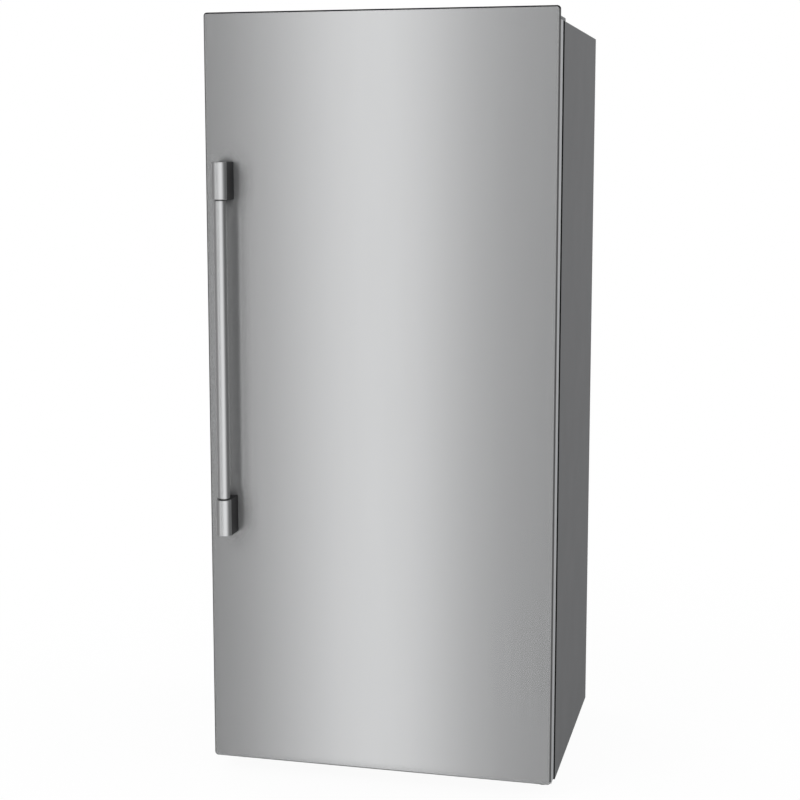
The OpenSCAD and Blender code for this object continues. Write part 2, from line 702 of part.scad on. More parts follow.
track_top = z_sh[2] + 60;
module shelf_tracks() color(c_white) both_sides() difference() {
  box([track_x - track_w/2, yb - track_d, z_track - 20], [track_x + track_w/2, yb, track_top]);
  box([track_x - track_w/2 + track_t, yb - track_d + track_t, z_track - 21],
    [track_x + track_w/2 - track_t, yb + 1, track_top + 1]);
  for (z = [z_track:slot_pitch:track_top - slot_pitch])
    box([track_x - arm_t/2 - 0.5, yb - track_d - 1, z - 6],
      [track_x + arm_t/2 + 0.5, yb - track_d + track_t + 1, z + 6]);
}
module shelf_frame(k) {
  z = z_sh[k];
  zg = z - glass_t;
  both_sides() {
    along_x([[y_sh + trim_d - eps, zg], [y_sh + trim_d - eps, zg - arm_front + trim_h/2],
      [y_sh + trim_d + 60, zg - arm_front],
      [yb - track_d, zg - arm_rear], [yb - track_d, zg]], track_x - arm_t/2, track_x + arm_t/2);
    box([track_x - arm_t/2, yb - track_d - eps, z - slot_pitch - 4],
      [track_x + arm_t/2, yb - track_d + track_t + 2, z - slot_pitch + 4]);
  }
  difference() {
    union() {
      along_x(round_rect(y_sh, zg - trim_h/2, y_sh + trim_d, z + trim_h/2 - 2, [4, 1, 1, 4]),
        -xc + shelf_side, xc - shelf_side);
      along_x(round_rect(y_duct - 3 - trim_d, zg - trim_h/2, y_duct - 3, z + trim_h, [1, 1, 3, 1]),
        -xc + shelf_side, xc - shelf_side);
    }
    shelf_glass_body(k);
    both_sides() box([track_x - arm_t/2, y_duct - 3 - trim_d - 1, zg - arm_rear],
      [track_x + arm_t/2, y_duct, zg]);
  }
}
module shelf_glass_body(k) box([-xc + shelf_side + 6, y_sh + 5, z_sh[k] - glass_t],
  [xc - shelf_side - 6, y_duct - 3 - 5, z_sh[k]]);
module shelf_frame_1() color(c_white) shelf_frame(0);
module shelf_frame_2() color(c_white) shelf_frame(1);
module shelf_frame_3() color(c_white) shelf_frame(2);
module shelf_glass_1() color(c_clear) shelf_glass_body(0);
module shelf_glass_2() color(c_clear) shelf_glass_body(1);
module shelf_glass_3() color(c_clear) shelf_glass_body(2);

// Crisper cover, rails, drawers and humidity sliders

y_cov1 = yb - 25;
y_rail1 = y_hump - 8;
slot_w = slider_w + slider_travel + 2*slide_gap;
slider_x = xc/2;
z_slider = z_cov + front_bar_h/2;
module cover_glass() box([-xc + 24, y_cr0 + front_bar_d + 6, z_cov_top - glass_t],
  [xc - 24, y_cov1 - 18, z_cov_top]);
module crisper_frame() color(c_white) difference() {
  union() {
    box([-xc + 1, y_cr0 + front_bar_d/2, z_cov], [xc - 1, y_cov1, z_cov_top]);
    along_x(round_rect(y_cr0, z_cov, y_cr0 + front_bar_d, z_cov + front_bar_h, [3, 0, 4, 6]), -xc + 1,
      xc - 1);
  }
  cover_glass();
  box([-xc + 32, y_cr0 + front_bar_d + 14, z_cov - 1], [xc - 32, y_cov1 - 26, z_cov_top + 1]);
  both_sides() {
    box([slider_x - slot_w/2, y_cr0 - 1, z_slider - slider_h/2 - slide_gap],
      [slider_x + slot_w/2, y_cr0 + 5, z_slider + slider_h/2 + slide_gap]);
    box([slider_x - slot_w/2, y_cr0 + 5 - eps, z_slider - slider_h/2 - slide_gap - 2],
      [slider_x + slot_w/2, y_cr0 + 9, z_slider + slider_h/2 + slide_gap + 2]);
  }
}
module crisper_glass() color(c_clear) cover_glass();
module slider() {
  x0 = slider_x - slot_w/2 + slide_gap;
  along_y(round_rect(x0, z_slider - slider_h/2, x0 + slider_w, z_slider + slider_h/2, [2, 2, 2, 2]),
    y_cr0 - 3, y_cr0 + 5.5);
  box([x0, y_cr0 + 5 + slide_gap, z_slider - slider_h/2 - 2],
    [x0 + slider_w, y_cr0 + 9 - slide_gap, z_slider + slider_h/2 + 2]);
  for (i = [-1:1]) box([x0 + slider_w/2 + i*5 - 1, y_cr0 - 4, z_slider - slider_h/2 + 2],
    [x0 + slider_w/2 + i*5 + 1, y_cr0 - 2, z_slider + slider_h/2 - 2]);
}
module humidity_slider_right() color(c_grey) slider();
module humidity_slider_left() color(c_grey) translate([-2*slider_x, 0, 0]) slider();

module crisper_rails() color(c_white) {
  both_sides() {
    box([xc - rail_web, y_cr0 + crisper_front + 1, z_rail - rim_t], [xc, y_rail1, z_cov]);
    box([xc - rail_web - rim_w, y_cr0 + crisper_front + 1, z_rail - rim_t],
      [xc - rail_web + eps, y_rail1, z_rail]);
  }
  box([-rail_web/2, y_cr0 + crisper_front + 1, z_rail - rim_t], [rail_web/2, y_rail1, z_cov]);
  box([-rail_web/2 - rim_w, y_cr0 + crisper_front + 1, z_rail - rim_t],
    [rail_web/2 + rim_w, y_rail1, z_rail]);
}

cx0 = rail_web/2 + 1;
cx1 = xc - rail_web - 1;
wx0 = rail_web/2 + rim_w + 1.5;
wx1 = xc - rail_web - rim_w - 1.5;
z_cr0 = zf + 8;
z_rim = z_rail + slide_gap;
y_cr1 = y_hump - 10;
module crisper() difference() {
  union() {
    along_z(round_rect(wx0, y_cr0 + eps, wx1, y_cr1, [0, 0, 14, 14]), z_cr0, z_rim + rim_t);
    box([cx0, y_cr0 + crisper_front - 1, z_rim], [cx1, y_cr1, z_rim + rim_t]);
    along_z(round_rect(cx0, y_cr0, cx1, y_cr0 + crisper_front, [4, 4, 0, 0]), z_cr0, z_cov - 3);
  }
  along_z(round_rect(wx0 + crisper_wall, y_cr0 + crisper_front, wx1 - crisper_wall, y_cr1 - crisper_wall,
    [8, 8, 11, 11]),
    z_cr0 + crisper_wall, z_cov + 1);
  grip_w = (cx1 - cx0)*0.5;
  along_x([[y_cr0 - 1, z_cov - 34], [y_cr0 + crisper_front - 2.5, z_cov - 30],
    [y_cr0 + crisper_front - 2.5, z_cov - 14],
    [y_cr0 - 1, z_cov - 14]], (cx0 + cx1)/2 - grip_w/2, (cx0 + cx1)/2 + grip_w/2);
}
module crisper_right() color(c_clear) crisper();
module crisper_left() color(c_clear) mirror([1, 0, 0]) crisper();

// Machine compartment

comp_y = (y_mc + y_pan1)/2;
comp_z = z_pan + mount_h;
comp_leg = 3;
comp_dx = 58;
comp_dy = 48;
module compressor() color(c_black) difference() {
  union() {
    translate([-comp_x, comp_y, comp_z]) {
      rotate_extrude() polygon(concat([[0, comp_leg]],
        [for (i = [0:10]) [(comp_r - 4)*sin(90*i/10), comp_leg + comp_h*0.42*(1 - cos(90*i/10))]],
        [[comp_r, comp_leg + comp_h*0.42], [comp_r, comp_leg + comp_h*0.42 + 8]],
        [for (i = [0:10]) [(comp_r - 4)*cos(90*i/10),
          comp_leg + comp_h*0.42 + 8 + (comp_h*0.58 - 8 - comp_leg)*sin(90*i/10)]]));
      along_z(round_rect(-comp_dx - 14, -comp_dy - 14, comp_dx + 14, comp_dy + 14, [14, 14, 14, 14]), 0,
        comp_leg);
      translate([0, 0, comp_leg - eps]) cylinder(h = comp_h*0.16, r = comp_r*0.62);
      translate([-comp_r - 22, -24, comp_h*0.3]) cube([40, 48, 56]);
    }
    rod_z(-comp_x, comp_y, comp_z + comp_h - 12, z_stub, tube_r + 1.5);
    rod_z(-comp_x + 30, comp_y, comp_z + comp_h*0.6, z_stub - 8, tube_r + 1.5);
  }
  for (sx = [-1, 1]) for (sy = [-1, 1])
    rod_z(-comp_x + sx*comp_dx, comp_y + sy*comp_dy, comp_z - 1, comp_z + comp_leg + 1, 4);
}
z_stub = comp_z + comp_h + 6;
module compressor_mounts() color(c_black) for (sx = [-1, 1]) for (sy = [-1, 1]) {
  rod_z(-comp_x + sx*comp_dx, comp_y + sy*comp_dy, z_pan, comp_z, mount_r);
  rod_z(-comp_x + sx*comp_dx, comp_y + sy*comp_dy, comp_z - eps, comp_z + comp_leg + 1, 3.8);
  rod_z(-comp_x + sx*comp_dx, comp_y + sy*comp_dy, comp_z + comp_leg, comp_z + comp_leg + 4, 7.5);
}

// Condenser: first end plate, spacing of the tube columns, gap above the pan and tubes in a column
cond_x0 = 10;
cond_dy = 36;
cond_fin = 10;
cond_end = 12;
cond_gap = 18;
cond_n = 7;
cond_x1 = cond_x0 + cond_w;
cond_ys = [for (i = [0:3]) comp_y + (i - 1.5)*cond_dy];
cond_z = z_pan + drain_pan_h + cond_gap;
cond_dz = (cond_h - 2*cond_end)/(cond_n - 1);
module condenser_coil() color(c_black) {
  coil(cond_x0 - coil_over, cond_x1 + coil_over, cond_ys, cond_z + cond_end, cond_dz, cond_n, tube_r,
    cond_fin, cond_fins,
    coil_over + coil_plate);
  for (x = [cond_x0, cond_x1 - coil_plate])
    box([x, cond_ys[0] - cond_end, z_pan], [x + coil_plate, cond_ys[3] + cond_end, cond_z + cond_h]);
}
// Fan shroud: distance from the coil, plate thickness, clear gap round the blades, and its motor
shroud_out = 75;
shroud_t = 3;
shroud_side = 8;
shroud_top = 16;
motor_l = 27;
motor_r = 22;
blade_gap = 3;
shroud_x = cond_x0 - shroud_out;
shroud_z = z_pan + drain_pan_h + shroud_top + cond_fan_r;
module condenser_shroud() color(c_black) difference() {
  union() {
    box([shroud_x - shroud_t, y_mc + shroud_side, z_pan],
      [shroud_x, y_pan1 - pan_t - shroud_side, z_mc - shroud_top]);
    rod_x(shroud_x - shroud_t - motor_l, shroud_x - shroud_t, comp_y, shroud_z, motor_r);
    rod_x(shroud_x - 4, shroud_x + fan_w + 4, comp_y, shroud_z, shaft_r);
  }
  difference() {
    rod_x(shroud_x - shroud_t - 1, shroud_x + 1, comp_y, shroud_z, cond_fan_r + blade_gap);
    for (a = [0:60:179]) translate([shroud_x - 5, comp_y, shroud_z]) rotate([a, 0, 0])
      translate([0, -4, -cond_fan_r*2]) cube([8, 8, cond_fan_r*4]);
    rod_x(shroud_x - shroud_t - 2, shroud_x + 2, comp_y, shroud_z, motor_r);
  }
}
module condenser_fan() color(c_grey) translate([shroud_x + 2, comp_y, shroud_z]) rotate([90, 0, 90])
  fan(cond_fan_r, 18, 5);

pan_x0 = shroud_x + 4;
module drain_pan() color(c_black) difference() {
  union() {
    along_z(round_rect(pan_x0, cond_ys[0] - 10, cond_x0 - 1, cond_ys[3] + 10, [6, 6, 6, 6]), z_pan,
      z_pan + drain_pan_h);
    along_z(round_rect(cond_x0 + 3, cond_ys[0] - 10, cond_x1 - 3, cond_ys[3] + 10, [6, 6, 6, 6]), z_pan,
      z_pan + drain_pan_h);
  }
  along_z(round_rect(pan_x0 + 2, cond_ys[0] - 8, cond_x0 - 3, cond_ys[3] + 8, [4, 4, 4, 4]), z_pan + 2,
    z_pan + drain_pan_h + 1);
  along_z(round_rect(cond_x0 + 5, cond_ys[0] - 8, cond_x1 - 5, cond_ys[3] + 8, [4, 4, 4, 4]), z_pan + 2,
    z_pan + drain_pan_h + 1);
}
drain_out = 28;
drain_front = 60;
drain_x = cond_x0 - drain_out;
drain_y = yb - drain_front;
module drain_tube() color(c_grey) difference() {
  rod_z(drain_x, drain_y, z_pan + drain_pan_h + 6, z_hump, drain_r);
  rod_z(drain_x, drain_y, z_pan + drain_pan_h, z_hump + 1, drain_r - 2);
}

// Copper pipes: risers to the evaporator, suction and discharge lines, drier
pipe_y = yb - tube_r - 5;
pipe_x = [duct_x*0.62, duct_x*0.75];
pipe_foam_y = yb + liner_t + tube_r + 10;
z_jog0 = (z_mc + z_hump)/2;
z_jog1 = z_duct0 + duct_wall + tube_r + 8;
module elbow(p, r) translate(p) sphere(r = r);
// Riser that climbs inside the rear foam and comes out behind the duct cover
module riser(x, z0, z1) {
  rod_z(x, pipe_y, z0, z_jog0, tube_r);
  rod_z(x, pipe_foam_y, z_jog0, z_jog1, tube_r);
  rod_z(x, pipe_y, z_jog1, z1, tube_r);
  for (z = [z_jog0, z_jog1]) {
    rod_y(x, pipe_y, pipe_foam_y, z, tube_r);
    for (y = [pipe_y, pipe_foam_y]) elbow([x, y, z], tube_r);
  }
}
fin_pitch = (cond_w - 2*coil_plate)/cond_fins;
module refrigerant_pipes() color(c_copper) {
  zs = z_mc - 9;
  zc = z_mc - 18;
  ze = z_duct0 + 30;
  zt_tube = cond_z + cond_h - cond_end + tube_r + 0.2;
  x_in = cond_x0 + coil_plate + fin_pitch;
  x_out = cond_x0 + coil_plate + (cond_fins - 1)*fin_pitch;
  riser(pipe_x[0], zs, ze);
  elbow([pipe_x[0], pipe_y, zs], tube_r);
  rod_x(-comp_x, pipe_x[0], pipe_y, zs, tube_r);
  elbow([-comp_x, pipe_y, zs], tube_r);
  rod_y(-comp_x, comp_y, pipe_y, zs, tube_r);
  elbow([-comp_x, comp_y, zs], tube_r);
  rod_z(-comp_x, comp_y, z_stub, zs, tube_r);
  rod_z(-comp_x + 30, comp_y, z_stub - 8, zs, tube_r);
  elbow([-comp_x + 30, comp_y, zs], tube_r);
  rod_x(-comp_x + 30, x_in, comp_y, zs, tube_r);
  elbow([x_in, comp_y, zs], tube_r);
  rod_y(x_in, cond_ys[1], comp_y, zs, tube_r);
  elbow([x_in, cond_ys[1], zs], tube_r);
  rod_z(x_in, cond_ys[1], zt_tube, zs, tube_r);
  rod_z(x_out, cond_ys[2], zt_tube, zc, tube_r);
  elbow([x_out, cond_ys[2], zc], tube_r);
  rod_y(x_out, cond_ys[2], pipe_y, zc, tube_r);
  elbow([x_out, pipe_y, zc], tube_r);
  rod_x(pipe_x[1], x_out, pipe_y, zc, tube_r);
  rod_x(x_out - 90, x_out - 14, pipe_y, zc, tube_r*3);
  elbow([pipe_x[1], pipe_y, zc], tube_r);
  riser(pipe_x[1], zc, ze);
}

// Hinges

module at_hinge() translate([hx, hy, 0]) children();
arm_x = -(1 + cover_wall + 0.4);
seat_y0 = y_cf - hy + 12;
module top_hinge_bracket() color(c_zinc) difference() {
  union() {
    at_hinge() translate([0, 0, z_ct]) linear_extrude(bracket_t) union() {
      circle(r = eye_r);
      polygon([[-eye_r, 0], [arm_x, eye_r*0.7], [arm_x, seat_y0], [2, seat_y0], [2, seat_y0 + seat_len],
        [2 - seat_w, seat_y0 + seat_len], [2 - seat_w, seat_y0], [-eye_r - 22, eye_r*2.2]]);
    }
    rod_z(hx, hy, z_bt - bush_len + 1.5, z_ct + bracket_t, pin_r);
  }
  for (p = seat_holes) rod_z(hx + p[0], hy + p[1], z_ct - 1, z_ct + bracket_t + 1, 2.8);
}
seat_holes = [[-8, seat_y0 + 12], [-seat_w + 14, seat_y0 + 12], [-seat_w/2, seat_y0 + seat_len - 12]];

cov_x0 = -seat_w - 4;
cov_x1 = 14;
cov_y0 = panel_t - hinge_back + 2;
cov_y1 = seat_y0 + seat_len + 8;
cov_step = hinge_in + 14;
cover_eye = hinge_back - panel_t - 0.4;
module cover_plan(w) {
  translate([hx, hy]) union() {
    circle(r = cover_eye - w);
    polygon(round_rect(cov_x0 + w, cov_y0 + w, -1 - w, cov_y1 - w, [6, 0, 0, 8]));
    polygon(round_rect(cov_x0 + w, cov_step + w, cov_x1 - w, cov_y1 - w, [0, 4, 8, 8]));
  }
}
// Section of the cover across its width: flat inside, falling to its outer side, shrunk by w
cover_fall = 40;
cover_tip = 4;
function cover_slope() = atan((cover_h - cover_low)/cover_fall);
function cover_section(w) =
  let (a = cover_slope(), r = cover_tip - w, x = hx + cov_x1 - cover_tip, z = z_ct + cover_low - cover_tip,
    top = z_ct + cover_h - w)
  concat([[hx + cov_x0 + w, z_ct - 2], [hx + cov_x1 - w, z_ct - 2]], arc_pts(x, z, r, 0, 90 - a),
    [[x + r*sin(a) - (top - z - r*cos(a))/tan(a), top]],
    arc_pts(hx + cov_x0 + cover_r, z_ct + cover_h - cover_r, cover_r - w, 90, 180));
module cover_form(w) intersection() {
  translate([0, 0, z_ct - w]) linear_extrude(cover_h + w) cover_plan(w);
  along_x(round_rect(hy - hinge_back, z_ct - 2, hy + cov_y1 - w, z_ct + cover_h - w, [0, 0, cover_r - w, 0]),
    hx - 200, hx + 60);
  along_y(cover_section(w), hy - 60, hy + 300);
}
module top_hinge_cover() color(c_grey) difference() {
  cover_form(0);
  cover_form(cover_wall);
  box([hx - 1, hy + cov_step - 1, z_ct - 1], [hx + cov_x1 + 1, y_cf - 0.5, z_ct + bracket_t + 0.4]);
}

// Gap between the bottom bracket's plate and the door
plate_gap = 1;
upright_z0 = z_db - plate_gap - bracket_t;
module bottom_hinge_bracket() color(c_black) difference() {
  union() {
    box([hx - 46, y_cf - upright_t, upright_z0], [hx + 16, y_cf, upright_z0 + upright_h]);
    at_hinge() translate([0, 0, upright_z0]) linear_extrude(bracket_t) union() {
      circle(r = eye_r);
      polygon([[-eye_r, 0], [eye_r, 0], [15, y_cf - hy - upright_t + eps],
        [-34, y_cf - hy - upright_t + eps]]);
    }
    rod_z(hx, hy, upright_z0, z_db + skin_t + bush_len - 1.5, pin_r);
    rod_z(hx, hy, upright_z0, z_db + skin_t - seal_gap, eye_r - 1);
  }
  for (p = upright_holes) rod_y(p[0], y_cf - upright_t - 1, y_cf + 1, p[1], 2.8);
}
upright_holes = [[hx - 36, upright_z0 + 12], [hx - 36, upright_z0 + upright_h - 9],
  [hx + 6, upright_z0 + upright_h - 9]];

screw_r = 4.2;
screw_h = 2.2;
module cabinet_screws() color(c_zinc) {
  for (p = seat_holes) {
    rod_z(hx + p[0], hy + p[1], z_ct, z_ct + bracket_t + eps, 2.5);
    rod_z(hx + p[0], hy + p[1], z_ct + bracket_t, z_ct + bracket_t + screw_h, screw_r);
  }
  for (p = upright_holes) {
    rod_y(p[0], y_cf - upright_t - eps, y_cf, p[1], 2.5);
    rod_y(p[0], y_cf - upright_t - screw_h, y_cf - upright_t, p[1], screw_r);
  }
  for (s = [-1, 1]) {
    for (i = [0:3]) rod_y(s*(xh - skin_t - 12), y_rp + skin_t, y_rp + skin_t + screw_h,
      z_mc + 40 + i*(z_ct - z_mc - 80)/3, screw_r);
    for (z = [z_cb + 24, z_mc - 14])
      rod_y(s*(xh - skin_t - 12), y_pan1 + mcover_t, y_pan1 + mcover_t + screw_h, z, screw_r);
  }
}

// Door

// Door's outer form shrunk by g: straight runs with rounded front edges, and a turned form in each corner
module run_x(g, y1, over)
  along_x(round_rect(y_df + g, z_db + g, y1, z_dt - g, [panel_edge_r - g, 0, 0, panel_edge_r - g]),
    -xh + panel_r - over, xh - panel_r + over);
module run_z(g, y1, over)
  along_z(round_rect(-xh + g, y_df + g, xh - g, y1, [panel_edge_r - g, panel_edge_r - g, 0, 0]),
    z_db + panel_r - over, z_dt - panel_r + over);
// Section from a corner's middle outward, with its depth measured from y1 to the front
function edge_section(g, depth) = let (r = panel_r - g, e = panel_edge_r - g)
  concat([[0, 0], [r, 0]], arc_pts(r - e, depth - g - e, e, 0, 90), [[0, depth - g]]);
module corner_turn(y1) for (x = [-xh + panel_r, xh - panel_r]) for (z = [z_db + panel_r, z_dt - panel_r])
  translate([x, y1, z]) rotate([90, 0, 0]) rotate_extrude() children();
module door_core(g, y1) {
  run_x(g, y1, 0);
  run_z(g, y1, 0);
  corner_turn(y1) polygon(edge_section(g, y1 - y_df));
}
z_cap0 = z_db + skin_t + cap_t;
z_cap1 = z_bt - cap_t;
module door_skin() color(c_steel) {
  difference() {
    run_x(0, y_pt, 0);
    run_x(skin_t, y_pt + 1, 1);
  }
  difference() {
    run_z(0, y_pt, 0);
    run_z(skin_t, y_pt + 1, 1);
  }
  intersection() {
    corner_turn(y_pt) difference() {
      polygon(edge_section(0, panel_t));
      translate([0, -1]) polygon(edge_section(skin_t, panel_t + 1));
    }
    both_sides() for (z = [z_db - 1, z_dt - panel_r])
      box([xh - panel_r, y_df - 1, z], [xh + 1, y_pt + 1, z + panel_r + 1]);
  }
}
module door_side_frames() color(c_frame) both_sides() {
  box([xh - skin_t, y_pt, z_db], [xh, y_db, z_bt]);
  box([xh - flange_w, y_db - skin_t, z_db], [xh - skin_t + eps, y_db, z_bt]);
}
module door_inside(z0, z1) difference() {
  intersection() {
    door_core(skin_t, y_db);
    box([-xh, y_df, z0], [xh, y_db, z1]);
  }
  both_sides() box([xh - flange_w, y_db - skin_t, z_db - 1], [xh, y_db + 1, z_dt]);
}
module door_caps() color(c_grey) difference() {
  union() {
    door_inside(z_db, z_cap0);
    difference() {
      door_inside(z_cap1, z_dt);
      box([-xh - 1, y_pt, z_bt], [xh + 1, y_cf, z_dt + 1]);
    }
  }
  rod_z(hx, hy, z_db - 1, z_db + skin_t + bush_len, bush_r);
  rod_z(hx, hy, z_bt - bush_len, z_bt + 1, bush_r);
}
module door_foam() color(c_foam) {
  door_inside(z_cap0, z_cap1);
  box([-xp + liner_t, y_db - 1, zf + plinth_gap + liner_t],
    [xp - liner_t, yp - liner_t, zt - plinth_gap - liner_t]);
}
module hinge_bushings() color(c_white) for (z = [z_db + skin_t, z_bt - bush_len]) difference() {
  rod_z(hx, hy, z, z + bush_len, bush_r);
  rod_z(hx, hy, z - 1, z + bush_len + 1, pin_r + run_clear);
}
module lug(z) {
  box([xi - lug_w, yp - eps, z - lug_h], [xi + eps, yp + lug_l, z]);
}
module door_liner() color(c_white) difference() {
  union() {
    box([-xh + liner_inset, y_db, z_db + liner_inset + 14],
      [xh - liner_inset, y_db + liner_t, z_bt - liner_inset]);
    along_y(round_rect(-xp, zf + plinth_gap, xp, zt - plinth_gap, [12, 12, 12, 12]), y_db, yp);
    both_sides() {
      intersection() {
        along_z(round_rect(xi, yp - eps, xp, yp + dyke_h, [0, 0, 6, 6]), z_dyke0, z_dyke1);
        along_x(round_rect(yp - eps, z_dyke0, yp + dyke_h, z_dyke1, [0, dyke_end_r, dyke_end_r, 0]),
          xi - 1, xp + 1);
      }
      for (z = bin_z) lug(z);
      lug(z_dairy);
    }
  }
  box([-xp + liner_t, y_db - 1, zf + plinth_gap + liner_t],
    [xp - liner_t, yp - liner_t, zt - plinth_gap - liner_t]);
}
module seal_ring(a, b, y0, y1) difference() {
  along_y(round_rect(-xc - gasket_off - b, zf - gasket_off - b, xc + gasket_off + b, zt + gasket_off + b,
    [6, 6, 6, 6]), y0, y1);
  along_y(round_rect(-xc - gasket_off - a, zf - gasket_off - a, xc + gasket_off + a, zt + gasket_off + a,
    [3, 3, 3, 3]), y0 - 1, y1 + 1);
}
y_g0 = y_db + liner_t;
y_g1 = y_cf - seal_gap;
module door_gasket() color(c_black) {
  seal_ring(0, gasket_w, y_g0, y_g0 + 6);
  seal_ring(gasket_w*0.3, gasket_w*0.7, y_g0 + 6 - eps, y_g1 - 7 + eps);
  seal_ring(gasket_w*0.1, gasket_w*0.95, y_g1 - 7, y_g1);
}

// Handle

bar_x = handle_in - xh;
bar_y = y_df - handle_reach;
z_h0 = z_db + handle_low;
z_h1 = z_h0 + handle_len;
module bevel_rod(x, y, z0, z1, r) translate([x, y, z0])
  rotate_extrude() polygon([[0, 0], [r - end_bevel, 0], [r, end_bevel], [r, z1 - z0 - end_bevel],
    [r - end_bevel, z1 - z0], [0, z1 - z0]]);
post_z = [z_h0, z_h1 - post_len];
module handle_posts() color(c_steel) for (z = post_z) intersection() {
  bevel_rod(bar_x, bar_y, z, z + post_len, post_r);
  box([bar_x - post_r, bar_y - post_r, z], [bar_x + post_r, bar_y, z + post_len]);
}
module handle_standoffs() color(c_black) for (z = post_z)
  box([bar_x - post_r, bar_y, z], [bar_x + post_r, y_df, z + post_len]);
module handle_bar() color(c_steel) {
  rod_z(bar_x, bar_y, z_h0 + post_len, z_h1 - post_len, bar_r - neck_cut);
  bevel_rod(bar_x, bar_y, z_h0 + post_len + neck_len, z_h1 - post_len - neck_len, bar_r);
}

// Door bins and the dairy compartment

bx = xi - 0.4;
module tub(z0, h, front_h) difference() {
  along_z(round_rect(-bx, yp, bx, yp + bin_d, [3, 3, bin_r, bin_r]), z0, z0 + h);
  along_z(round_rect(-bx + bin_wall, yp + bin_wall, bx - bin_wall, yp + bin_d - bin_wall,
    [2, 2, bin_r - bin_wall, bin_r - bin_wall]),
    z0 + bin_wall, z0 + h + 1);
  along_x([[yp - 1, z0 + front_h*0.55], [yp + bin_d*0.35, z0 + front_h*0.55], [yp + bin_d*0.75, z0 + h + 1],
    [yp - 1, z0 + h + 1]], -bx - 1, bx + 1);
  for (z = [z0 + h*0.62]) box([-bx + bin_r*2, yp + bin_d - bin_wall - 1, z],
    [bx - bin_r*2, yp + bin_d + 1, z + h*0.14]);
}
module bottle_bin() color(c_clear) tub(bin_z[0], bottle_h, bottle_h);
module door_bin_1() color(c_clear) tub(bin_z[1], bin_h, bin_h);
module door_bin_2() color(c_clear) tub(bin_z[2], bin_h, bin_h);
module door_bin_3() color(c_clear) tub(bin_z[3], bin_h, bin_h);

lid_y = yp + lid_rod_r + 3;
lid_z = z_dairy + dairy_h - lid_rod_r - 1;
dairy_d = bin_d - 8;
module dairy_box() color(c_white) difference() {
  box([-bx, yp, z_dairy], [bx, yp + dairy_d, z_dairy + dairy_h]);
  box([-bx + dairy_side, yp + bin_wall, z_dairy + bin_wall],
    [bx - dairy_side, yp + dairy_d - bin_wall, z_dairy + dairy_h + 1]);
  box([-bx + dairy_side, yp + lid_rod_r, z_dairy + dairy_front],
    [bx - dairy_side, yp + dairy_d + 1, z_dairy + dairy_h + 1]);
  box([-bx - 1, yp + lid_rod_r*2 + 6, z_dairy + dairy_h - 8],
    [bx + 1, yp + dairy_d + 1, z_dairy + dairy_h + 1]);
  rod_x(-bx - 1, bx + 1, lid_y, lid_z, lid_pin_r + run_clear);
}
lid_bx = bx - dairy_side - 0.4;
module dairy_lid() color(c_clear) {
  rod_x(-lid_bx, lid_bx, lid_y, lid_z, lid_rod_r);
  rod_x(-bx + 0.5, bx - 0.5, lid_y, lid_z, lid_pin_r);
  along_x([[lid_y - 1, lid_z + lid_rod_r - lid_t], [yp + dairy_d - 8, lid_z + lid_rod_r - lid_t],
    [yp + dairy_d - lid_t, lid_z - 4],
    [yp + dairy_d - lid_t, z_dairy + dairy_front + 1], [yp + dairy_d, z_dairy + dairy_front + 1],
      [yp + dairy_d, lid_z - 3],
    [yp + dairy_d - 7, lid_z + lid_rod_r], [lid_y - 1, lid_z + lid_rod_r]], -lid_bx, lid_bx);
}

cabinet_wrapper();
rear_panel();
cabinet_insulation();
inner_liner();
base_frame();
machine_cover();
power_inlet();
control_console();
light_lens();
duct_cover();
evaporator_coil();
shelf_tracks();
shelf_frame_1();
shelf_frame_2();
shelf_frame_3();
shelf_glass_1();
shelf_glass_2();
shelf_glass_3();
crisper_frame();
crisper_glass();
crisper_rails();
compressor();
compressor_mounts();
condenser_coil();
condenser_shroud();
drain_pan();
drain_tube();
refrigerant_pipes();
top_hinge_bracket();
top_hinge_cover();
bottom_hinge_bracket();
cabinet_screws();
door_skin();
door_side_frames();
door_foam();
door_liner();
door_caps();
door_gasket();
hinge_bushings();
handle_bar();
handle_posts();
handle_standoffs();
door_bin_1();
door_bin_2();
door_bin_3();
bottle_bin();
dairy_box();
dairy_lid();
crisper_left();
crisper_right();
humidity_slider_left();
humidity_slider_right();
evaporator_fan();
condenser_fan();
roller_left();
roller_right();
foot_left();
foot_right();
key_colder();
key_warmer();
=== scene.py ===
import json
import math

import bmesh
import bpy
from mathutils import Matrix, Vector

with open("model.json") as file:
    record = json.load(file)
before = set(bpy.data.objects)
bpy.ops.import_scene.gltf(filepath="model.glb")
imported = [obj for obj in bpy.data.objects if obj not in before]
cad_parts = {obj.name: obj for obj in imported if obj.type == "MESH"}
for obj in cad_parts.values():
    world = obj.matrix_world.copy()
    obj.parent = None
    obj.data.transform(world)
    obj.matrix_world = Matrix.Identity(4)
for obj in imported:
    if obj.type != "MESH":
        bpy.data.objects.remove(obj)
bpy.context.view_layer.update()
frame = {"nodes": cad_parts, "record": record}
nodes = frame["nodes"]
scene = bpy.context.scene
scene.view_settings.view_transform = "Standard"

WHITE = (1, 1, 1)
BLACK = (0, 0, 0)

# Camera, fitted to the corners of the door and of the cabinet in the photograph. Other views keep its shift,
# so the shift is small and the camera tilts down instead.
LENS_MM = 71.98
SENSOR_MM = 36
SHIFT_Y = -0.04
YAW_DEG = 13.541
PITCH_DEG = 7.656
CAMERA_AT = (0.9160, -3.8849, 1.5133)


def add_camera():
    data = bpy.data.cameras.new("camera")
    data.sensor_width = SENSOR_MM
    data.lens = LENS_MM
    data.shift_y = SHIFT_Y
    camera = bpy.data.objects.new("camera", data)
    camera.location = CAMERA_AT
    camera.rotation_euler = (math.radians(90 - PITCH_DEG), 0, math.radians(YAW_DEG))
    scene.collection.objects.link(camera)
    scene.camera = camera


add_camera()


def scaled(color, share):
    return tuple(c * share for c in color)


